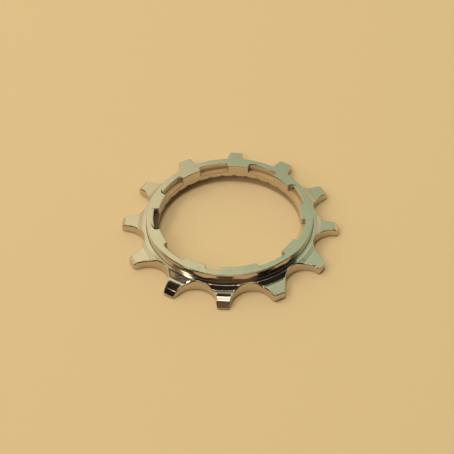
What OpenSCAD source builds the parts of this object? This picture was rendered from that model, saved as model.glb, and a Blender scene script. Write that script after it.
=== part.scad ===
// Smallest cog of a bicycle cassette, in one piece of plated steel: a toothed plate for the chain,
// a round collar that spaces it from the next cog, a notched bore that slides over the hub's
// splines, and a lockring seat in the outer face. It lies on its outer face, collar upwards.
// Origin: on the axis, in the plane of the outer face. +X runs through the middle of a tooth.

/* [Teeth] */
// Number of teeth
teeth = 12; // [12:1:16]
// Distance between two chain rollers
chain_pitch = 12.7; // [12.4:0.1:13]
// Radius of a chain roller, which rests on the bottom of the gullet between two teeth
roller_r = 3.9; // [3.7:0.05:4.1]
// Radius of the round bottom of a gullet
gullet_r = 4.9; // [4.6:0.1:5.2]
// Slope of a tooth's flank away from the tooth's middle line, in degrees
flank_slope = 12; // [8:1:14]
// How far the teeth reach beyond the pitch circle
tip_reach = 1.2; // [0.9:0.1:1.6]
// Thickness of the toothed plate
plate_t = 2.1; // [1.9:0.05:2.4]

/* [Shifting gullets] */
// Radius of the round bottom of the two gullets that pass the chain on
shift_r = 4.5; // [4.2:0.1:4.8]
// How far these two gullets lie aside of the middle between their teeth
shift_aside = 0.9; // [0.5:0.1:1.1]
// Slope of the long flank on one side of them, in degrees
shift_slope = 30; // [24:1:33]

/* [Tooth tips] */
// Width of the plain bevel on the upper edge of a tip
bevel_w = 0.8; // [0.4:0.1:1.2]
// Depth of that bevel at the tip
bevel_drop = 0.7; // [0.3:0.1:1.1]
// Width of the long ramp on the shifting teeth, from the tip inwards
ramp_w = 2.2; // [1.6:0.1:2.6]
// Fall of the ramp where its steep end begins
ramp_drop = 0.45; // [0.3:0.05:0.6]
// Width of the ramp's steep end
ramp_end_w = 1; // [0.7:0.1:1.3]
// Edge left standing under the ramp's steep end
ramp_edge = 0.65; // [0.5:0.05:0.8]
// Width of the bevel under the tips
under_w = 0.6; // [0.3:0.1:0.8]
// Height of the bevel under the tips
under_h = 0.4; // [0.2:0.05:0.5]

/* [Collar] */
// Height over all, which is one spacing of the cassette's cogs
cog_h = 5; // [4.6:0.1:5.6]
// Step from the bottoms of the gullets in to the collar
collar_step = 0.85; // [0.6:0.05:1]
// Radius of the collar's upper outer edge
collar_edge = 0.35; // [0.2:0.05:0.5]
// Width of the flat shoulder round the collar's foot
shoulder_w = 1; // [0.6:0.1:1.4]
// Height of the shoulder above the plate
shoulder_h = 0.75; // [0.4:0.05:1]
// Width of the slope from the shoulder down to the plate
shoulder_slope_w = 1; // [0.6:0.1:1.4]

/* [Splined bore] */
// Diameter of the bore between the notches
bore_d = 33.8; // [33:0.1:34.4]
// Number of notches
notches = 9; // [7:1:9]
// Depth of a notch into the wall of the bore
notch_deep = 1.15; // [0.8:0.05:1.3]
// Width of a notch
notch_w = 6.9; // [6:0.1:7.3]
// Width of the one narrow notch that lets the cog on in one position only
key_w = 3.4; // [3:0.1:4]
// Length of the notches down from the top of the collar
notch_len = 1.65; // [1.2:0.05:2.2]
// Turn of the first notch from the first tooth, in degrees
notch_turn = 26.5; // [0:0.5:40]
// Chamfer at both mouths of the bore
bore_edge = 0.2; // [0.1:0.05:0.3]

/* [Lockring seat] */
// Diameter of the recess for the lockring
recess_d = 38; // [36.6:0.1:38.6]
// Depth of the recess in the outer face
recess_deep = 1.7; // [1.2:0.1:2]
// Number of grooves that lock the ring
grooves = 36; // [24:4:48]
// Width of a groove
groove_w = 0.9; // [0.6:0.1:1.2]
// Depth of a groove
groove_deep = 0.3; // [0.2:0.05:0.4]

/* [Hidden] */
$fn = 96;
// Overshoot of every cutting shape past the faces that it cuts
over = 1;
tooth_turn = 360 / teeth;
pitch_r = chain_pitch / 2 / sin(tooth_turn / 2);
tip_r = pitch_r + tip_reach;
root_r = pitch_r - roller_r;
collar_r = root_r - collar_step;
shoulder_r = collar_r + shoulder_w;
shoulder_z = plate_t + shoulder_h;
bore_r = bore_d / 2;
notch_r = bore_r + notch_deep;
notch_pitch = 360 / notches;
recess_r = recess_d / 2;
groove_turn = 360 / grooves;
// The narrow notch, and the teeth with a long ramp, counted from +X
KEY_NOTCH = 6;
RAMP_TEETH = [8, 9];
// The teeth with no bevel, each followed by a shifting gullet
SHIFT_TEETH = [10, 11];
// Share of a tooth's turn that its tip lies in
TIP_SPAN = 0.8;
// A flank leaves the gullet's circle this much past the tangent point, with a slight corner
FLANK_CORNER = 8;

// Half of the cog's section: plate, shoulder, collar, bore and lockring recess
module section() {
    difference() {
        polygon([
            [recess_r, 0], [tip_r - under_w, 0], [tip_r, under_h], [tip_r, plate_t],
            [shoulder_r + shoulder_slope_w, plate_t], [shoulder_r, shoulder_z], [collar_r, shoulder_z],
            [collar_r, cog_h], [bore_r + bore_edge, cog_h], [bore_r, cog_h - bore_edge],
            [bore_r, recess_deep + bore_edge], [bore_r + bore_edge, recess_deep], [recess_r, recess_deep]
        ]);
        translate([collar_r - collar_edge, cog_h - collar_edge])
            difference() {
                square(collar_edge + over);
                circle(r = collar_edge);
            }
    }
}

// Two points of a flank's line, from the centre of its gullet's circle: one inside the circle and
// one beyond the tips
function flank(r, slope) =
    let (turn = slope + tooth_turn / 2, foot = r * cos(FLANK_CORNER) * [-sin(turn), cos(turn)],
         out = tip_r - root_r - r + over)
    [foot, [out, foot[1] + (out - foot[0]) * tan(turn)]];

// The space between two teeth: a round bottom that opens outwards between two straight flanks.
// before is the slope of the flank on the tooth before it, after that of the next tooth
module gullet(r, before, after) {
    low = flank(r, before);
    high = flank(r, after);
    translate([root_r + r, 0]) {
        circle(r = r);
        polygon([high[0], high[1], [low[1][0], -low[1][1]], [low[0][0], -low[0][1]]]);
    }
}

// The turned blank with its teeth cut: the gullets just reach the shoulder and pass the collar
module toothed_blank() {
    difference() {
        rotate_extrude()
            section();
        translate([0, 0, -over])
            linear_extrude(cog_h + 2 * over)
                for (i = [0:teeth - 1])
                    rotate(tooth_turn * (i + 0.5))
                        if (len(search(i, SHIFT_TEETH)) > 0)
                            translate([0, shift_aside])
                                gullet(shift_r, shift_slope, 0);
                        else
                            gullet(gullet_r, flank_slope, flank_slope);
    }
}

// Ring segment that cuts one tooth's tip back to the line through the points given; it ends in
// the gullets on either side
module tip_cut(i, line) {
    outer = tip_r + over;
    top = plate_t + over;
    rotate(tooth_turn * (i - TIP_SPAN / 2))
        rotate_extrude(angle = tooth_turn * TIP_SPAN)
            polygon(concat([[line[0][0], top]], line, [[outer, line[len(line) - 1][1]], [outer, top]]));
}

// Bevels on the upper edges of the tips: a long ramp, a plain bevel or none, tooth by tooth
module tip_cuts() {
    plain = [[tip_r - bevel_w, plate_t], [tip_r, plate_t - bevel_drop]];
    ramp = [[tip_r - ramp_w, plate_t], [tip_r - ramp_end_w, plate_t - ramp_drop], [tip_r, ramp_edge]];
    for (i = [0:teeth - 1])
        if (len(search(i, RAMP_TEETH)) > 0)
            tip_cut(i, ramp);
        else if (len(search(i, SHIFT_TEETH)) == 0)
            tip_cut(i, plain);
}

// Notches with parallel sides for the hub's splines, one of them narrow
module notch_cuts() {
    floor_z = cog_h - notch_len;
    translate([0, 0, floor_z])
        intersection() {
            cylinder(h = notch_len + over, r = notch_r);
            for (i = [0:notches - 1])
                rotate(notch_turn + notch_pitch * i)
                    translate([0, -notch_w / 2, 0])
                        cube([notch_r + over, i == KEY_NOTCH ? key_w : notch_w, notch_len + over]);
        }
}

// Radial grooves in the ceiling of the recess, which the lockring's own grooves bite into
module groove_cuts() {
    translate([0, 0, recess_deep - over])
        linear_extrude(groove_deep + over)
            difference() {
                for (i = [0:grooves - 1])
                    rotate(groove_turn * i)
                        translate([0, -groove_w / 2])
                            square([recess_r - groove_w / 2, groove_w]);
                circle(r = bore_r - over);
            }
}

module cog() {
    color("silver")
        difference() {
            toothed_blank();
            tip_cuts();
            notch_cuts();
            groove_cuts();
        }
}

cog();
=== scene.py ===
# A cassette cog of plated steel on a pale table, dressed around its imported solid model.
import math

import bpy
import numpy as np
from mathutils import Matrix, Vector


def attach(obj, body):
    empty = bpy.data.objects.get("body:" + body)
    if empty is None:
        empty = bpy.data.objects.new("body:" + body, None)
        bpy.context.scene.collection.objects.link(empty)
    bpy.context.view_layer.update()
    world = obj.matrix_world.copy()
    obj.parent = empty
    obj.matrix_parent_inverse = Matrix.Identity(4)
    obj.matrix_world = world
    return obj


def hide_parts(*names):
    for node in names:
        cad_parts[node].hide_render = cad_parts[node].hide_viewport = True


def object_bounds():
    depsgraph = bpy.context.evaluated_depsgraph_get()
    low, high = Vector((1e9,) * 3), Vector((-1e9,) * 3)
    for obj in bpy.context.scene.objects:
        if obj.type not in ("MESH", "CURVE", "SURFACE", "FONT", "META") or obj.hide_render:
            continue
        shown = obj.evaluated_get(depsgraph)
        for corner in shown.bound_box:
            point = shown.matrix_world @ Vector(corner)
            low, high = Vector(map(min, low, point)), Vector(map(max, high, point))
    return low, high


bl_info = {
    "name": "Plated cassette cog",
    "version": (1, 0, 0),
    "blender": (4, 5, 0),
    "location": "3D View > Sidebar > Cog",
    "description": "Builds the finished surface of a small cassette cog and the table it lies on",
    "category": "Object",
}

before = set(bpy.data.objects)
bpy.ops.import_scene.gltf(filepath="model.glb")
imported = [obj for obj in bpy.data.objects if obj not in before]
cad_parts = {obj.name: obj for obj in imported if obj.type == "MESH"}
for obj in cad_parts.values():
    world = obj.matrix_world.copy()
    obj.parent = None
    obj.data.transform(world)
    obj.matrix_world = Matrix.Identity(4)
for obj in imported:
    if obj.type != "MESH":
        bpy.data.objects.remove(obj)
CAD_LOW, CAD_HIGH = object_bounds()
MM = 0.001

# Columns of the surface along half a tooth: gullet, flank, tip corner, tip
GULLET_COLS, FLANK_COLS, CORNER_COLS, TIP_COLS = 12, 13, 4, 7
# Columns along half a notch's share of the bore: bottom, inner corner, side, outer corner, land
BOTTOM_COLS, IN_COLS, SIDE_COLS, OUT_COLS, LAND_COLS = 12, 6, 5, 6, 19
# Rows round a rounded edge
EDGE_ROWS = 6
# Rows up the teeth's wall, up the collar, over its end and down a notch's side, as shares of the way
WALL_SHARES = (0.08, 0.36, 0.64, 0.92)
COLLAR_SHARES = (0.04, 0.5, 0.9)
END_SHARES = (0.06, 0.4, 0.7, 0.94)
SIDE_SHARES = (0.0, 0.33, 0.66, 0.97)
# Rows over a notch's floor: the share of the way inwards, and how far the row has sunk by then in
# the notches and on the lands, counted in roundings of the floor's edge
FLOOR_ROWS = ((0.0, 0, 0.2), (0.06, 0, 0.4), (0.5, 0, 0.8), (0.9, 0, 1.4),
              (0.97, 0.3, 1.8), (1.0, 1.0, 2.2), (1.0, 3.0, 3.0))
# Rows on down the bore, out over the recess's grooved ceiling and its plain rim, and down its wall
RING_SHARES = (0.3, 0.6, 0.95)
CEILING_SHARES = (0.1, 0.5, 0.8)
RIM_SHARES = (0.86, 0.95, 1.0)
RECESS_SHARES = (0.06, 0.5, 0.94)
# Share of the way down the bore by which the columns are evenly spread, and of the way out over the
# lower side by which they follow the teeth again
EVEN_SHARE, TEETH_SHARE = 0.6, 0.8

# The most that an edge's rounding takes of the thickness, and the columns over which it changes
THIN_SHARE, EASE_REACH = 0.45, 3
# Fillet at the collar's foot and the plate's strip beside it, each with the most that it takes of
# the width that is left between the collar and the teeth's edge
FOOT_FILLET, FILLET_SHARE = 0.08 * MM, 0.4
FOOT_STRIP, STRIP_SHARE = 0.05 * MM, 0.08
# The most that rows squeezed by a gullet lie apart, and the most that they all take of the way in
ROW_STEP, SQUEEZE = 0.02 * MM, 0.9
# Distance from the foot of the shoulder's slope out to the next rows
FLAT_W = 0.5 * MM
# Rounding of the inner edge of a notch's floor, and slope between groove and ridge in the recess
FLOOR_EDGE, GROOVE_EDGE = 0.08 * MM, 0.15 * MM
# Half the step over which a slope is measured
PROBE = 0.001 * MM
# Keeps a normal of no length from a division by zero
TINY = 1e-30

# Share of painted shade, dark lines drawn into the colour, along the collar's foot, at the outer ends
# of the notches' floors and on the notches' sides
FOOT_PAINTED_SHADE, NOTCH_PAINTED_SHADE, SIDE_PAINTED_SHADE = 0.8, 0.5, 0.4
# The notch that is painted dark as a shadow, counted from the first one after +X as 0, and its share of
# painted shadow
DARK_NOTCH, NOTCH_PAINTED_SHADOW = 4, 0.85
# Colours of the thin, dull plating, and of the dark matt coat: grime in the nicks, painted shade in
# corners and notches
DULL_HEX, GRIME_AND_SHADE_HEX = "#D8B88A", "#1E1510"
# Nicks in the plate's upper edge, each as tooth, column from that tooth's first gullet, reach in
# columns and depth
NICKS = ((6, 49, 2.5, 0.2 * MM), (6, 56, 3.0, 0.28 * MM), (7, 50, 2.2, 0.18 * MM),
         (7, 57, 3.0, 0.28 * MM), (7, 62, 2.5, 0.24 * MM), (11, 23, 2.5, 0.28 * MM))
# Share of grime in a nick, and the depth from which it has all of it
NICK_GRIME, NICK_DARK = 0.75, 0.12 * MM


class CogSizes(bpy.types.PropertyGroup):
    """Sizes and colours of the cog and its table."""

    plate_t: bpy.props.FloatProperty(
        name="Plate", description="Thickness of the toothed plate", default=2.1 * MM, unit="LENGTH")
    gullet_r: bpy.props.FloatProperty(
        name="Gullet", description="Radius of the round bottom between two teeth",
        default=4.9 * MM, unit="LENGTH")
    chain_pitch: bpy.props.FloatProperty(
        name="Chain pitch", description="Distance between two chain rollers",
        default=12.7 * MM, unit="LENGTH")
    flank_slope: bpy.props.FloatProperty(
        name="Flank slope", description="Slope of a flank from the tooth's middle line",
        default=math.radians(12), subtype="ANGLE")
    tip_corner: bpy.props.FloatProperty(
        name="Tip corner", description="Radius of the corners of a tooth's tip in plan",
        default=0.4 * MM, unit="LENGTH")
    edge: bpy.props.FloatProperty(
        name="Plate edge", description="Rounding of the plate's upper edges",
        default=0.25 * MM, unit="LENGTH")
    under_edge: bpy.props.FloatProperty(
        name="Under edge", description="Rounding of the plate's lower edges",
        default=0.2 * MM, unit="LENGTH")
    bore_edge: bpy.props.FloatProperty(
        name="Bore edge", description="Rounding of the bore's edges", default=0.15 * MM, unit="LENGTH")
    collar_edge: bpy.props.FloatProperty(
        name="Collar edge", description="Rounding of the collar's upper outer edge",
        default=0.25 * MM, unit="LENGTH")
    metal_hex: bpy.props.StringProperty(
        name="Plating", description="Colour of the nickel plating, sRGB hex", default="#D3CABA")
    floor_hex: bpy.props.StringProperty(
        name="Table", description="Colour of the table, sRGB hex", default="#D9C093")


def linear(hex_text):
    """sRGB hex text as a linear red, green, blue and alpha of 1."""
    values = [int(hex_text[i:i + 2], 16) / 255 for i in (1, 3, 5)]
    return [v / 12.92 if v <= 0.04045 else ((v + 0.055) / 1.055) ** 2.4 for v in values] + [1.0]


def add_node(tree, kind, inputs=None, links=None, **settings):
    """A new node in tree: settings are its attributes, inputs its socket values, and links the
    output sockets that feed its inputs."""
    node = tree.nodes.new(kind)
    for name, value in settings.items():
        setattr(node, name, value)
    for name, value in (inputs or {}).items():
        node.inputs[name].default_value = value
    for name, socket in (links or {}).items():
        tree.links.new(socket, node.inputs[name])
    return node


def soft_min(a, b, k):
    """The lower of a and b, rounded over a width k where they cross."""
    h = np.clip(0.5 + 0.5 * (b - a) / k, 0, 1)
    return b + (a - b) * h - k * h * (1 - h)


def soft_max(a, b, k):
    """The higher of a and b, rounded over a width k where they cross."""
    return -soft_min(-a, -b, k)


def fade(values, start, end):
    """0 at start and before it, 1 at end and after it, and a straight line between. end may be the
    lower of the two."""
    return np.clip((values - start) / (end - start), 0, 1)


def steps(count):
    """count shares from 0 up to, and without, 1."""
    return np.arange(count) / count


def share_rows(count):
    """count shares from 0 to 1, both included."""
    return np.linspace(0, 1, count)


def eased(row, reach):
    """A closed row made gentle: in each column the mean, over reach columns to both sides, of the
    lowest value within that reach. It is never above the row."""
    turns = range(-reach, reach + 1)
    lowest = np.min([np.roll(row, k) for k in turns], axis=0)
    return np.mean([np.roll(lowest, k) for k in turns], axis=0)


class CogForm:
    """The cog's form as functions of the angle and of the place on its section. Everything is in
    metres, with the axis at the origin and the table at height 0."""

    TEETH = 12
    NOTCHES = 9
    GROOVES = 36
    RAMP_TEETH = (8, 9)
    SHIFT_TEETH = (10, 11)
    KEY_NOTCH = 6
    FLANK_CORNER = math.radians(8)
    roller_r = 3.9 * MM
    shift_r = 4.5 * MM
    shift_aside = 0.9 * MM
    shift_slope = math.radians(30)
    tip_reach = 1.2 * MM
    collar_step = 0.85 * MM
    shoulder_w = 1.0 * MM
    shoulder_h = 0.75 * MM
    shoulder_slope_w = 1.0 * MM
    bevel_w = 0.8 * MM
    bevel_drop = 0.7 * MM
    ramp_w = 2.2 * MM
    ramp_drop = 0.45 * MM
    ramp_end_w = 1.0 * MM
    ramp_edge = 0.65 * MM
    under_w = 0.6 * MM
    under_h = 0.4 * MM
    bore_r = 16.9 * MM
    notch_r = 18.05 * MM
    notch_half = 3.45 * MM
    key_w = 3.4 * MM
    notch_len = 1.65 * MM
    notch_turn = math.radians(26.5)
    notch_out = 0.25 * MM
    notch_in = 0.3 * MM
    recess_r = 19.0 * MM
    recess_deep = 1.7 * MM
    groove_w = 0.9 * MM
    groove_deep = 0.3 * MM
    # Height over which two slopes of the plate run into each other
    soft = 0.05 * MM

    def __init__(self, sizes):
        self.sizes = sizes
        self.turn = 2 * math.pi / self.TEETH
        self.pitch_r = sizes.chain_pitch / 2 / math.sin(self.turn / 2)
        self.tip_r = self.pitch_r + self.tip_reach
        self.root_r = self.pitch_r - self.roller_r
        self.collar_r = self.root_r - self.collar_step
        self.shoulder_r = self.collar_r + self.shoulder_w
        self.shoulder_z = sizes.plate_t + self.shoulder_h
        self.cog_h = CAD_HIGH.z
        # By tooth and by side: the gullet's radius, its shift towards the tooth and the flank's turn
        shifting = np.isin(np.arange(self.TEETH), self.SHIFT_TEETH)
        beside = np.stack([np.roll(shifting, 1), shifting], axis=1)[..., None]
        self.gullet_r = np.where(beside, self.shift_r, sizes.gullet_r)
        self.aside = np.where(beside, self.shift_aside, 0) * np.array([1, -1])[None, :, None]
        slope = np.where(beside, np.array([0, self.shift_slope])[None, :, None], sizes.flank_slope)
        self.flank_a = slope + self.turn / 2

    def outline(self, inset):
        """The toothed outline, moved into the metal by inset, as radius and angle.

        Half a tooth is four stretches: an arc of its gullet's circle, a straight flank that leaves
        the circle with a slight corner, a corner arc tangent to the flank and to the tip circle,
        and an arc of the tip circle. The inset widens the gullet, shrinks the corner and the tip
        circle, and shifts the flank, so every inset outline is parallel to the first. inset has
        the shape (teeth, 2 sides, columns + 1)."""
        corner = self.sizes.tip_corner
        a, b, c = np.cumsum([GULLET_COLS, FLANK_COLS, CORNER_COLS])
        inset = inset * np.ones((self.TEETH, 2, c + TIP_COLS + 1))
        normal_a = math.pi / 2 + self.flank_a
        normal = np.cos(normal_a), np.sin(normal_a)
        along = np.cos(self.flank_a), np.sin(self.flank_a)
        middle = self.root_r + self.gullet_r, self.aside
        flank_d = self.gullet_r * math.cos(self.FLANK_CORNER)
        base = [middle[i] + (flank_d + corner) * normal[i] for i in (0, 1)]
        lead = base[0] * along[0] + base[1] * along[1]
        reach = np.sqrt(lead ** 2 - base[0] ** 2 - base[1] ** 2 + (self.tip_r - corner) ** 2) - lead
        centre = [base[i] + along[i] * reach for i in (0, 1)]
        contact = np.arctan2(centre[1], centre[0])

        def leave(d):
            """Angle on the gullet's circle at which the flank leaves it."""
            return normal_a - np.arccos((flank_d + d) / (self.gullet_r + d))

        def on_gullet(phi, d):
            """Points of the gullet's circle, widened by d."""
            return [middle[0] + (self.gullet_r + d) * np.cos(phi),
                    middle[1] + (self.gullet_r + d) * np.sin(phi)]

        d = inset[..., :a]
        gullet_xy = on_gullet(math.pi + (leave(d) - math.pi) * steps(GULLET_COLS), d)
        d = inset[..., a:b]
        start = on_gullet(leave(d), d)
        end = [centre[i] - (corner - d) * normal[i] for i in (0, 1)]
        flank_xy = [start[i] + (end[i] - start[i]) * steps(FLANK_COLS) for i in (0, 1)]
        d = corner - inset[..., b:c]
        psi = normal_a - math.pi + (contact - normal_a + math.pi) * steps(CORNER_COLS)
        corner_xy = [centre[0] + d * np.cos(psi), centre[1] + d * np.sin(psi)]
        x, y = (np.concatenate(parts, axis=-1) for parts in zip(gullet_xy, flank_xy, corner_xy))
        tip_a = contact + (self.turn / 2 - contact) * share_rows(TIP_COLS + 1) + 0 * inset[..., c:]
        r = np.concatenate([np.hypot(x, y), self.tip_r - inset[..., c:]], axis=-1)
        local = np.concatenate([np.arctan2(y, x), tip_a], axis=-1)
        tooth_a = self.turn * np.arange(self.TEETH)[:, None]
        before = tooth_a - self.turn / 2 + local[:, 0]
        after = tooth_a + self.turn / 2 - local[:, 1]
        return self.in_order(r), self.in_order(np.stack([before, after], axis=1))

    @staticmethod
    def in_order(halves):
        """Joins the two halves of each tooth or notch into one closed row of columns."""
        there, back = halves[:, 0, :-1], halves[:, 1, :0:-1]
        return np.concatenate([there, back], axis=1).ravel()

    @staticmethod
    def as_halves(row, count, columns):
        """The reverse of in_order: a closed row as (count, 2 sides, columns + 1)."""
        there, back = np.split(row.reshape(count, 2 * columns), 2, axis=1)
        first = np.concatenate([there, back[:, :1]], axis=1)
        second = np.concatenate([back, np.roll(there[:, :1], -1, axis=0)], axis=1)[:, ::-1]
        return np.stack([first, second], axis=1)

    def top(self, r):
        """Height of the plate's upper side at radius r in each column: flat, with a slope up to the
        shoulder, and cut down at the tips by each tooth's own bevel."""
        t = self.sizes.plate_t
        tooth = np.repeat(np.arange(self.TEETH), r.shape[-1] // self.TEETH)
        slope = self.shoulder_z - (r - self.shoulder_r) * self.shoulder_h / self.shoulder_slope_w
        body = soft_max(soft_min(slope, self.shoulder_z, self.soft), t, self.soft)
        plain = t - (r - self.tip_r + self.bevel_w) * self.bevel_drop / self.bevel_w
        gentle = t - (r - self.tip_r + self.ramp_w) * self.ramp_drop / (self.ramp_w - self.ramp_end_w)
        fall = t - self.ramp_drop - self.ramp_edge
        steep = self.ramp_edge + (self.tip_r - r) * fall / self.ramp_end_w
        ramp = soft_min(gentle, steep, self.soft)
        cut = np.where(np.isin(tooth, self.RAMP_TEETH), ramp, plain)
        cut = np.where(np.isin(tooth, self.SHIFT_TEETH), self.shoulder_z + self.soft, cut)
        return soft_min(body, cut, self.soft)

    def under(self, r):
        """Height of the plate's lower side at radius r: the table's, with a bevel at the tips."""
        return soft_max(0 * r, (r - self.tip_r + self.under_w) * self.under_h / self.under_w, self.soft)

    def bore_outline(self, inset):
        """The notched bore's outline, moved into the metal by inset, as radius and angle.

        Half a notch's share is five stretches: an arc of the notch bottoms' circle, an inner
        corner, a straight side parallel to the notch's middle, an outer corner, and an arc of the
        lands' circle. The narrow notch has one of its sides moved towards the other."""
        sides = np.full((self.NOTCHES, 2, 1), self.notch_half)
        sides[self.KEY_NOTCH, 0] = self.key_w - self.notch_half
        in_x = np.sqrt((self.notch_r - self.notch_in) ** 2 - (sides - self.notch_in) ** 2)
        out_x = np.sqrt((self.bore_r + self.notch_out) ** 2 - (sides + self.notch_out) ** 2)
        in_a = np.arctan2(sides - self.notch_in, in_x)
        out_a = np.arctan2(sides + self.notch_out, out_x)
        ones = np.ones_like(sides)
        middle = (in_a[:, :1] - in_a[:, 1:]) / 2 * np.array([1, -1])[None, :, None]
        bottom_a = middle + (in_a - middle) * steps(BOTTOM_COLS)
        psi = in_a + (math.pi / 2 - in_a) * steps(IN_COLS)
        in_xy = [in_x + (self.notch_in + inset) * np.cos(psi),
                 sides - self.notch_in + (self.notch_in + inset) * np.sin(psi)]
        side_xy = [in_x + (out_x - in_x) * steps(SIDE_COLS), (sides + inset) * np.ones(SIDE_COLS)]
        psi = -math.pi / 2 + (out_a - math.pi / 2) * steps(OUT_COLS)
        out_xy = [out_x + (self.notch_out - inset) * np.cos(psi),
                  sides + self.notch_out + (self.notch_out - inset) * np.sin(psi)]
        x, y = (np.concatenate(parts, axis=-1) for parts in zip(in_xy, side_xy, out_xy))
        share = 2 * math.pi / self.NOTCHES
        after = share - out_a[:, 0] - np.roll(out_a[:, 1], -1, axis=0)
        half_land = np.stack([after, np.roll(after, 1, axis=0)], axis=1) / 2
        land_a = out_a + half_land * share_rows(LAND_COLS + 1)
        r = np.concatenate([(self.notch_r + inset) * ones * np.ones(BOTTOM_COLS), np.hypot(x, y),
                            (self.bore_r + inset) * ones * np.ones(LAND_COLS + 1)], axis=-1)
        local = np.concatenate([bottom_a, np.arctan2(y, x), land_a], axis=-1)
        # From the middle of one notch over its upper side and the next land to the next notch
        centre = self.notch_turn + share * np.arange(self.NOTCHES)[:, None]
        up = centre + local[:, 0]
        down = np.roll(centre - local[:, 1], -1, axis=0)
        down[-1] += 2 * math.pi
        down_r = np.roll(r[:, 1], -1, axis=0)
        return (self.in_order(np.stack([r[:, 0], down_r], axis=1)),
                self.in_order(np.stack([up, down], axis=1)))


def cog_surface(form):
    """The whole cog as one closed grid: a section carried round the axis. Each row is one place on
    the section, each column one angle, and both ends of the grid meet. With it come two shares of
    the same shape, how dull the plating is and how dark it is made, by grime in the nicks and by
    painted shade in the corners and notches, and the normals of the plate's upper side, which are
    zero elsewhere. The rows run up the wall of the teeth, inwards over the plate, up the collar,
    down the notched bore, out over the recess and back over the lower side."""
    s = form.sizes
    rows, dull_rows, grime_rows, normal_rows = [], [], [], []

    def add(r, angle, z, dull=0.0, grime=0.0):
        """A row at radius r and height z, which may differ from column to column."""
        rows.append(np.stack([r * np.cos(angle), r * np.sin(angle), z + 0 * angle], axis=-1))
        dull_rows.append(dull + 0 * angle)
        grime_rows.append(grime + 0 * angle)
        normal_rows.append(0 * rows[-1])

    def add_top(r, angle):
        """A row on the plate's upper side, whose normals follow from the slope of its height."""
        add(r, angle, form.top(r))
        slope = (form.top(r + PROBE) - form.top(r - PROBE)) / (2 * PROBE)
        normal_rows[-1] = np.stack([-slope * np.cos(angle), -slope * np.sin(angle), 1 + 0 * r], axis=-1)

    columns = GULLET_COLS + FLANK_COLS + CORNER_COLS + TIP_COLS

    def plate_row(inset):
        """The toothed outline moved inwards by an inset of its own in each column."""
        return form.outline(form.as_halves(inset, form.TEETH, columns))

    # The edges' rounding gets smaller where the plate is thin and where the collar is near
    wall_r, wall_a = form.outline(0.0)
    room = wall_r - form.collar_r
    probe_r, _ = plate_row(np.minimum(s.edge, room / 2))
    thick = form.top(probe_r) - form.under(probe_r)
    edge = eased(np.minimum(np.minimum(s.edge, room / 2), THIN_SHARE * thick), EASE_REACH)
    under_edge = eased(np.minimum(s.under_edge, THIN_SHARE * thick), EASE_REACH)
    # A nick is full deep over the inner third of its reach, and runs out straight from there
    nick = 0 * edge
    for tooth, column, reach, depth in NICKS:
        apart = np.abs(np.arange(len(edge)) - tooth * 2 * columns - column)
        nick = np.maximum(nick, depth * np.clip(1.5 - 1.5 * apart / reach, 0, 1))
    nick_grime = NICK_GRIME * fade(nick, 0, NICK_DARK)
    quarter = share_rows(EDGE_ROWS) * math.pi / 2

    # Up the wall of the teeth and over its edge, where the nicks are deepest half way round
    for phi in quarter[::-1]:
        r, a = plate_row(under_edge * (1 - np.cos(phi)))
        add(r, a, form.under(r) + under_edge * (1 - np.sin(phi)))
    low = form.under(wall_r) + under_edge
    high = form.top(wall_r) - edge
    for share in WALL_SHARES:
        add(wall_r, wall_a, low + (high - low) * share)
    for i, phi in enumerate(quarter):
        r, a = plate_row(edge * (1 - np.cos(phi)))
        z = form.top(r) - edge * (1 - np.sin(phi)) - nick * np.sin(2 * phi)
        add(r, a, z, grime=nick_grime * (0 < i < EDGE_ROWS - 1))
    rim_r, rim_a = r, a

    # Inwards over the plate and the shoulder, with three rows at each bend of the section. Where a
    # gullet lies further in than a row's radius, the row stays just inside the gullet
    fillet = np.minimum(FOOT_FILLET, FILLET_SHARE * (rim_r - form.collar_r))
    foot = form.collar_r + fillet
    bends = [form.tip_r - form.bevel_w / 2, form.tip_r - form.bevel_w, form.tip_r - form.ramp_end_w,
             form.tip_r - form.ramp_w, form.shoulder_r + form.shoulder_slope_w + FLAT_W,
             form.shoulder_r + form.shoulder_slope_w, form.shoulder_r]
    beside = (form.soft, 0.0, -form.soft)
    radii = sorted({bend + d for bend in bends for d in beside}, reverse=True)
    for i, radius in enumerate(radii):
        inner = rim_r - (rim_r - foot) * SQUEEZE * (i + 1) / (len(radii) + 1)
        r = np.minimum(radius, np.maximum(inner, rim_r - ROW_STEP * (i + 1)))
        add_top(r, rim_a)
    # One more row close beside the fillet keeps the painted shade in the corner
    add_top(foot + np.minimum(FOOT_STRIP, STRIP_SHARE * (rim_r - foot)), rim_a)

    # Up the collar, with painted shade in the fillet at its foot, over its edge and inwards on its end
    for phi in quarter[1:]:
        add(form.collar_r + fillet * (1 - np.sin(phi)), rim_a,
            form.shoulder_z + fillet * (1 - np.cos(phi)), grime=FOOT_PAINTED_SHADE)
    foot_z = form.shoulder_z + fillet
    for share in COLLAR_SHARES:
        add(form.collar_r + 0 * rim_a, rim_a, foot_z + (form.cog_h - s.collar_edge - foot_z) * share)
    for phi in quarter:
        add(form.collar_r - s.collar_edge * (1 - np.cos(phi)) + 0 * rim_a, rim_a,
            form.cog_h - s.collar_edge * (1 - np.sin(phi)))
    end_r = form.collar_r - s.collar_edge
    hole_r, hole_a = form.bore_outline(0.0)
    shift = int(round((rim_a[0] - hole_a[0]) / (2 * math.pi) * len(hole_a)))

    def aligned(r, angle):
        """Rolls a bore row so that its columns lie beside those of the plate."""
        turned = np.roll(angle, -shift) + 2 * math.pi * (np.arange(len(angle)) + shift >= len(angle))
        turned = turned - 2 * math.pi * (np.arange(len(angle)) + shift < 0)
        return np.roll(r, -shift), turned

    hole_r, hole_a = aligned(hole_r, hole_a)
    # How far a column is out in a notch; half way out it is on the notch's side
    in_notch = fade(hole_r, form.bore_r, form.notch_r)
    # Painted shade on the notches' sides, darkest half way out
    side_grime = SIDE_PAINTED_SHADE * 4 * in_notch * (1 - in_notch)
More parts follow.
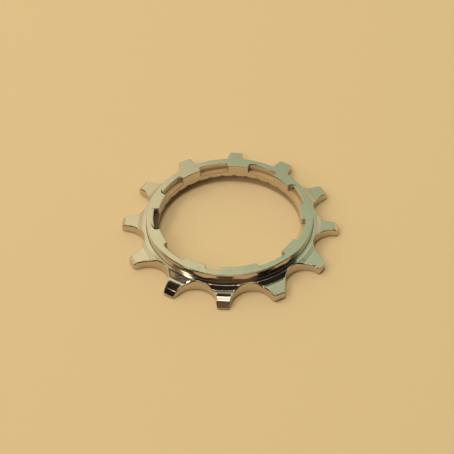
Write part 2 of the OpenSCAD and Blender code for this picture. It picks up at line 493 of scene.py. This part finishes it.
    # Angle from the middle of the dark notch, up to half a turn either way
    off = hole_a - form.notch_turn - DARK_NOTCH * 2 * math.pi / form.NOTCHES
    off = np.angle(np.exp(1j * off))
    # A painted shadow darkens that notch's sides and floor all over
    painted_notch_shadow = NOTCH_PAINTED_SHADOW * in_notch * (np.abs(off) < math.pi / form.NOTCHES)
    lip_r, lip_a = aligned(*form.bore_outline(s.bore_edge))
    for share in END_SHARES:
        mix = share * share * (3 - 2 * share)
        add(end_r + (lip_r - end_r) * share, rim_a + (lip_a - rim_a) * mix, form.cog_h)

    # Down the notched bore, over the notches' floors and on down the closed ring below
    for phi in quarter[:-1]:
        r, a = aligned(*form.bore_outline(s.bore_edge * (1 - np.sin(phi))))
        add(r, a, form.cog_h - s.bore_edge * (1 - np.cos(phi)))
    floor_z = form.cog_h - form.notch_len
    high_z = form.cog_h - s.bore_edge
    # Down the notches' sides, with painted shade on them and along their foot
    for share in SIDE_SHARES:
        end_grime = NOTCH_PAINTED_SHADE * in_notch * (share == SIDE_SHARES[-1])
        add(hole_r, hole_a, high_z + (floor_z - high_z) * share,
            grime=np.maximum(np.maximum(side_grime, painted_notch_shadow), end_grime))
    # Over the floors, with painted shade along their outer ends
    for across, drop, land_drop in FLOOR_ROWS:
        r = hole_r + (form.bore_r - hole_r) * across
        add(r, hole_a, floor_z - FLOOR_EDGE * (drop * in_notch + land_drop * (1 - in_notch)),
            dull=in_notch, grime=np.maximum(NOTCH_PAINTED_SHADE * in_notch * (across == 0.0), painted_notch_shadow))
    even = steps(len(rim_a)) * 2 * math.pi
    even_a = np.mean(rim_a - even) + even
    from_groove = np.abs((even_a * form.GROOVES / (2 * math.pi) + 0.5) % 1 - 0.5)
    groove_a = from_groove * 2 * math.pi / form.GROOVES
    in_groove = np.clip((form.groove_w / 2 - groove_a * form.recess_r) / GROOVE_EDGE + 0.5, 0, 1)
    ceiling = form.recess_deep + form.groove_deep * in_groove
    ring_z = floor_z - FLOOR_ROWS[-1][1] * FLOOR_EDGE
    for share in RING_SHARES:
        a = hole_a + (even_a - hole_a) * min(1, share / EVEN_SHARE)
        add(form.bore_r + 0 * a, a, ring_z + (ceiling + s.bore_edge - ring_z) * share)

    # Out over the grooved ceiling of the recess and down its wall
    for phi in quarter:
        add(form.bore_r + s.bore_edge * (1 - np.cos(phi)) + 0 * even_a, even_a,
            ceiling + s.bore_edge * (1 - np.sin(phi)))
    lip = form.bore_r + s.bore_edge
    for share in CEILING_SHARES:
        add(lip + (form.recess_r - lip) * share + 0 * even_a, even_a, ceiling)
    for share in RIM_SHARES:
        add(lip + (form.recess_r - lip) * share + 0 * even_a, even_a, form.recess_deep)
    for share in RECESS_SHARES:
        add(form.recess_r + 0 * even_a, even_a,
            form.recess_deep + (s.under_edge - form.recess_deep) * share)
    for phi in quarter:
        add(form.recess_r + s.under_edge * (1 - np.cos(phi)) + 0 * even_a, even_a,
            s.under_edge * (1 - np.sin(phi)))

    # Outwards over the lower side and its bevel, back to the first row. Each row has a radius and,
    # for where a gullet lies further in, a share of the way
    first_r, first_a = plate_row(under_edge)
    start_r = form.recess_r + s.under_edge
    bevel_r = form.tip_r - form.under_w
    lower_rows = ((start_r + 0.1 * MM, 0.1), (start_r + 0.3 * MM, 0.4), (start_r + 0.6 * MM, 0.8),
                  (bevel_r - 0.15 * MM, 0.9), (bevel_r, 0.94), (bevel_r + 0.15 * MM, 0.97))
    for radius, share in lower_rows:
        r = np.minimum(radius, start_r + (first_r - start_r) * share)
        add(r, even_a + (first_a - even_a) * min(1, share / TEETH_SHARE), form.under(r))
    return np.stack(rows), np.stack(dull_rows), np.stack(grime_rows), np.stack(normal_rows)


def mesh_from_grid(name, grid, given, **shares):
    """A closed mesh from a grid of points that wraps both ways, with its faces outwards, and with
    one value per point for each of the named shares.

    A point's normal is the given one, or where that is zero the mean of its faces' normals, each
    weighted by the square of its area, so that the flats stay flat right up to the narrow strips
    that round their edges."""
    count, across = grid.shape[:2]
    points = grid.reshape(-1, 3)
    index = np.arange(count * across).reshape(count, across)
    right = np.roll(index, -1, axis=1)
    down, across_down = np.roll(index, -1, axis=0), np.roll(right, -1, axis=0)
    quads = np.stack([index, right, across_down, down], axis=-1).reshape(-1, 4)
    a, b, c, d = (points[quads[:, i]] for i in range(4))
    volume = np.einsum("ij,ij->i", a, np.cross(b, c) + np.cross(c, d)).sum() / 6
    if volume < 0:
        quads = quads[:, ::-1]
    a, b, c, d = (points[quads[:, i]] for i in range(4))
    area = np.cross(c - a, d - b)
    area = area * np.linalg.norm(area, axis=1, keepdims=True)
    normals = np.zeros_like(points)
    for corner in range(4):
        np.add.at(normals, quads[:, corner], area)
    given = given.reshape(-1, 3)
    normals = np.where(given[:, 2:] > 0, given, normals)
    normals /= np.maximum(np.linalg.norm(normals, axis=1, keepdims=True), TINY)
    mesh = bpy.data.meshes.new(name)
    mesh.from_pydata(points.tolist(), [], quads.tolist())
    for key, values in shares.items():
        mesh.attributes.new(key, "FLOAT", "POINT").data.foreach_set("value", values.ravel())
    mesh.shade_smooth()
    mesh.normals_split_custom_set_from_vertices(normals)
    mesh.update()
    return mesh


def plated_steel(settings):
    """Nickel-plated steel: a warm grey mirror, a little dulled by handling, with faint waviness
    from the tumbled blank under the plating."""
    material = bpy.data.materials.new("nickel_plated_steel")
    material.use_nodes = True
    tree = material.node_tree
    shader = tree.nodes["Principled BSDF"]
    place = add_node(tree, "ShaderNodeTexCoord")
    # Haze of fine scratches, patches about 3 mm across
    haze = add_node(tree, "ShaderNodeTexNoise", {"Scale": 1 / (3 * MM), "Detail": 4.0},
                    {"Vector": place.outputs["Object"]})
    rough = add_node(tree, "ShaderNodeMapRange", {"To Min": 0.07, "To Max": 0.18},
                     {"Value": haze.outputs["Fac"]})
    # Where the plating is thin it is dull and brownish; a dark matt coat gives the grime in the nicks
    # and painted shade in the corners and notches
    dull = add_node(tree, "ShaderNodeAttribute", attribute_name="dull")
    grime = add_node(tree, "ShaderNodeAttribute", attribute_name="grime")

    def layered(kind, sockets, plain, worn, grimy_and_shaded):
        """The plain value, turned to the worn one by dull and to the grimy and shaded one by the share
        of grime and painted shade.
        """
        low, high, out = sockets
        first = add_node(tree, "ShaderNodeMix", {high: worn}, {"Factor": dull.outputs["Fac"]},
                         data_type=kind)
        if isinstance(plain, bpy.types.NodeSocket):
            tree.links.new(plain, first.inputs[low])
        else:
            first.inputs[low].default_value = plain
        links = {"Factor": grime.outputs["Fac"], low: first.outputs[out]}
        return add_node(tree, "ShaderNodeMix", {high: grimy_and_shaded}, links, data_type=kind).outputs[out]

    # A mix node's sockets by number, for colours and for values: the two inputs and the result
    colours, values = (6, 7, 2), (2, 3, 0)
    colour = layered("RGBA", colours, linear(settings.metal_hex), linear(DULL_HEX),
                     linear(GRIME_AND_SHADE_HEX))
    tree.links.new(colour, shader.inputs["Base Color"])
    roughness = layered("FLOAT", values, rough.outputs["Result"], 0.5, 0.7)
    tree.links.new(roughness, shader.inputs["Roughness"])
    tree.links.new(layered("FLOAT", values, 1.0, 0.4, 0.0), shader.inputs["Metallic"])
    # Waviness about 1.2 mm across
    wave = add_node(tree, "ShaderNodeTexNoise", {"Scale": 1 / (1.2 * MM), "Detail": 2.0},
                    {"Vector": place.outputs["Object"]})
    bump = add_node(tree, "ShaderNodeBump", {"Strength": 0.12, "Distance": 0.05 * MM},
                    {"Height": wave.outputs["Fac"]})
    tree.links.new(bump.outputs["Normal"], shader.inputs["Normal"])
    return material


class COG_OT_surface(bpy.types.Operator):
    """Build the cog's finished surface in place of its solid"""

    bl_idname = "cog.surface"
    bl_label = "Cog surface"

    def execute(self, context):
        sizes = context.scene.cog_sizes
        grid, dull, grime, normals = cog_surface(CogForm(sizes))
        mesh = mesh_from_grid("plated_cog", grid, normals, dull=dull, grime=grime)
        mesh.materials.append(plated_steel(sizes))
        cog = bpy.data.objects.new("plated_cog", mesh)
        context.scene.collection.objects.link(cog)
        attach(cog, "root")
        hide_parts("cog")
        return {"FINISHED"}


# The photograph's view, measured on its frame of 454 by 454 pixels
FRAME_PX = 454
FOCAL_PX = 1627.5
AXIS_PX = (229.9, 230.5)
VIEW_DISTANCE = 388.5 * MM
VIEW_FALL = math.radians(45.15)
VIEW_ROLL = math.radians(-1.58)
# Turn of the cog's own +X from the picture's right, and height of the aimed point
COG_TURN = math.radians(4.56)
AIM_HEIGHT = -0.2 * MM
SENSOR = 36.0

TABLE_HALF = 2.0
# Lamps: name, azimuth and elevation in the view, distance, size, power, colour, and whether the
# metal mirrors them
LAMPS = (("ceiling", 150, 86, 1.0, 0.2, 2.9, "#FFF6EA", False),
         ("ceiling_glow", 150, 86, 1.0, 0.3, 0.75, "#FFF6EA", True),
         ("lamp_shade", 60, 84, 1.1, 0.55, 1.1, "#FFF0D6", True),
         ("side_lamp", 206, 47, 1.0, 0.13, 0.45, "#FFF6EA", True),
         ("front_fill", -140, 38, 1.4, 0.9, 5.6, "#FFF9F2", False),
         ("window", 150, 57, 1.2, 0.35, 2.5, "#FFF6EA", False))
# The dim world beyond the walls
WORLD_HEX, WORLD_GLOW = "#3A3028", 0.6
# The glowing walls: their grid, radius, and lowest and highest elevations
WALL_COLS, WALL_ROWS = 361, 64
ROOM_R = 1.5
WALL_LOW, WALL_TOP = -3, 50
# How much higher they reach behind the cog on the right, and the azimuths where that starts and ends
RAISED_BY, RAISED_START, RAISED_END = 12, (12, 18), (80, 74)
# Stops round the walls: azimuth in the view, colour and strength
FRONT_HEX, BACK_HEX, BACK_GLOW, LEFT_HEX = "#8A6F55", "#ECFFDA", 0.52, "#FFF6D0"
ROOM = ((-175, "#2A211B", 0.6), (-125, "#2A211B", 0.6), (-108, FRONT_HEX, 0.7),
        (-82, FRONT_HEX, 0.7), (-64, FRONT_HEX, 1.0), (-54, "#12161C", 1.0), (8, "#12161C", 1.0),
        (20, BACK_HEX, BACK_GLOW), (88.5, BACK_HEX, BACK_GLOW), (95.5, LEFT_HEX, 0.86),
        (180, LEFT_HEX, 0.86))
# Past this azimuth the walls are behind the cog: over the first elevations they turn to LOW_HEX
# downwards, and over the second ones they get brighter upwards, by as much as BRIGHTER
BEHIND_FROM, LOW_HEX, LOW_FADE, HIGH_FADE, BRIGHTER = 10, "#E6D6B0", (24, 16), (42, 50), 0.6
# A patch low on the right, as elevations and azimuths over which it fades in, and one high on the left
SIDE_FADE, SIDE_START, SIDE_END = (43, 38), (-6, 0), (20, 16)
SHADE_HEX, SHADE_FADE, SHADE_START = "#C9A57C", (41, 44), (-146, -152)


def from_view(azimuth, elevation, distance):
    """A place seen from the cog: azimuth 0 is to the picture's right, 90 away from the camera."""
    a, e = math.radians(azimuth) + COG_TURN, math.radians(elevation)
    return Vector((math.cos(a) * math.cos(e), math.sin(a) * math.cos(e), math.sin(e))) * distance


def look_at(obj, place, target):
    """Puts obj at place with its -Z axis towards target."""
    obj.rotation_euler = (target - place).to_track_quat("-Z", "Y").to_euler()
    obj.location = place


def add_camera(context):
    """The camera at the photograph's angle and distance."""
    data = bpy.data.cameras.new("camera")
    data.sensor_width = SENSOR
    data.lens = FOCAL_PX / FRAME_PX * SENSOR
    camera = bpy.data.objects.new("camera", data)
    context.scene.collection.objects.link(camera)
    back = from_view(-90, math.degrees(VIEW_FALL), 1.0)
    right = Vector((math.cos(COG_TURN), math.sin(COG_TURN), 0))
    up = back.cross(right)
    aim = Vector((0, 0, AIM_HEIGHT))
    place = aim + back * VIEW_DISTANCE
    turn = Matrix((right, up, back)).transposed()
    turn = turn @ Matrix.Rotation(VIEW_ROLL, 3, "Z")
    offset = [(p - FRAME_PX / 2) / FOCAL_PX for p in AXIS_PX]
    turn = Matrix.Rotation(offset[0], 3, up) @ Matrix.Rotation(offset[1], 3, right) @ turn
    camera.matrix_world = Matrix.Translation(place) @ turn.to_4x4()
    data.clip_start, data.clip_end = VIEW_DISTANCE / 50, VIEW_DISTANCE * 50
    context.scene.camera = camera


def add_lamp(context, name, azimuth, elevation, distance, size, power, hex_text, mirrored):
    """A square soft lamp that faces the cog."""
    data = bpy.data.lights.new(name, "AREA")
    data.size = size
    data.energy = power
    data.color = linear(hex_text)[:3]
    lamp = bpy.data.objects.new(name, data)
    context.scene.collection.objects.link(lamp)
    look_at(lamp, from_view(azimuth, elevation, distance), Vector((0, 0, 0)))
    lamp.visible_glossy = mirrored


def turned_to(colour, hex_text, glow, share):
    """The colours, turned by their share towards one colour at the strength glow."""
    return colour + (np.array(linear(hex_text)[:3]) * glow - colour) * share[..., None]


def add_room(context):
    """The glowing walls of the room round the cog, for the metal to mirror: a band of a sphere with
    its colour in every corner. The stops of ROOM give the colours round it. Behind the cog it is
    cream near the table and gets brighter towards its upper edge. On the right, all but its top has
    the colour of the wall behind, and high up on the left, towards the camera, it is light brown."""
    azimuth, share = np.meshgrid(np.linspace(-180, 180, WALL_COLS), share_rows(WALL_ROWS))
    top = WALL_TOP + RAISED_BY * fade(azimuth, *RAISED_START) * fade(azimuth, *RAISED_END)
    elevation = WALL_LOW + (top - WALL_LOW) * share
    stops, hexes, glows = zip(*ROOM)
    colours = np.array([linear(text)[:3] for text in hexes]) * np.array(glows)[:, None]
    colour = np.stack([np.interp(azimuth, stops, channel) for channel in colours.T], axis=-1)
    behind = azimuth > BEHIND_FROM
    colour = turned_to(colour, LOW_HEX, 1.0, fade(elevation, *LOW_FADE) * behind)
    high = fade(elevation, *HIGH_FADE) * behind
    colour = colour * (1 + BRIGHTER * high[..., None])
    side = fade(elevation, *SIDE_FADE) * fade(azimuth, *SIDE_START) * fade(azimuth, *SIDE_END)
    colour = turned_to(colour, BACK_HEX, BACK_GLOW, side)
    shade = fade(elevation, *SHADE_FADE) * fade(azimuth, *SHADE_START)
    colour = turned_to(colour, SHADE_HEX, 1.0, shade)
    colour = np.concatenate([colour, np.ones(azimuth.shape + (1,))], axis=-1)
    a, e = np.radians(azimuth) + COG_TURN, np.radians(elevation)
    points = np.stack([np.cos(a) * np.cos(e), np.sin(a) * np.cos(e), np.sin(e)], axis=-1) * ROOM_R
    index = np.arange(azimuth.size).reshape(azimuth.shape)
    faces = np.stack([index[:-1, :-1], index[1:, :-1], index[1:, 1:], index[:-1, 1:]], axis=-1)
    mesh = bpy.data.meshes.new("room_walls")
    mesh.from_pydata(points.reshape(-1, 3).tolist(), [], faces.reshape(-1, 4).tolist())
    glow = mesh.attributes.new("glow", "FLOAT_COLOR", "POINT")
    glow.data.foreach_set("color", colour.ravel())
    # Painted walls in lamplight, without a sheen: even colours for the metal to mirror
    material = bpy.data.materials.new("painted_wall")
    material.use_nodes = True
    tree = material.node_tree
    tree.nodes.clear()
    paint = add_node(tree, "ShaderNodeAttribute", attribute_name="glow")
    light = add_node(tree, "ShaderNodeEmission", links={"Color": paint.outputs["Color"]})
    add_node(tree, "ShaderNodeOutputMaterial", links={"Surface": light.outputs["Emission"]})
    mesh.materials.append(material)
    walls = bpy.data.objects.new("room_walls", mesh)
    context.scene.collection.objects.link(walls)


class COG_OT_stage(bpy.types.Operator):
    """Build the table, the lamps, the room and the camera"""

    bl_idname = "cog.stage"
    bl_label = "Table, lamps and camera"

    def execute(self, context):
        scene = context.scene
        scene.view_settings.view_transform = "Standard"
        corners = [(x * TABLE_HALF, y * TABLE_HALF, 0) for x, y in ((-1, -1), (1, -1), (1, 1), (-1, 1))]
        mesh = bpy.data.meshes.new("table")
        mesh.from_pydata(corners, [], [(0, 1, 2, 3)])
        # Matte paper: one even warm tone that takes soft shadows and shows no sheen
        material = bpy.data.materials.new("matte_paper")
        material.use_nodes = True
        shader = material.node_tree.nodes["Principled BSDF"]
        shader.inputs["Base Color"].default_value = linear(scene.cog_sizes.floor_hex)
        shader.inputs["Roughness"].default_value = 0.9
        mesh.materials.append(material)
        table = bpy.data.objects.new("table", mesh)
        scene.collection.objects.link(table)
        world = bpy.data.worlds.new("room")
        world.use_nodes = True
        background = world.node_tree.nodes["Background"]
        background.inputs["Color"].default_value = linear(WORLD_HEX)
        background.inputs["Strength"].default_value = WORLD_GLOW
        scene.world = world
        for lamp in LAMPS:
            add_lamp(context, *lamp)
        add_room(context)
        add_camera(context)
        return {"FINISHED"}


class COG_PT_panel(bpy.types.Panel):
    """Sizes, colours and the steps that build the cog"""

    bl_idname = "COG_PT_panel"
    bl_label = "Cassette cog"
    bl_space_type = "VIEW_3D"
    bl_region_type = "UI"
    bl_category = "Cog"

    def draw(self, context):
        for name in CogSizes.__annotations__:
            self.layout.prop(context.scene.cog_sizes, name)
        for operator in OPERATORS:
            self.layout.operator(operator.bl_idname)


OPERATORS = (COG_OT_surface, COG_OT_stage)
CLASSES = (CogSizes, *OPERATORS, COG_PT_panel)


def register():
    for cls in CLASSES:
        bpy.utils.register_class(cls)
    bpy.types.Scene.cog_sizes = bpy.props.PointerProperty(type=CogSizes)


def unregister():
    del bpy.types.Scene.cog_sizes
    for cls in reversed(CLASSES):
        bpy.utils.unregister_class(cls)


def main():
    register()
    bpy.ops.cog.surface()
    bpy.ops.cog.stage()


if __name__ == "__main__":
    main()
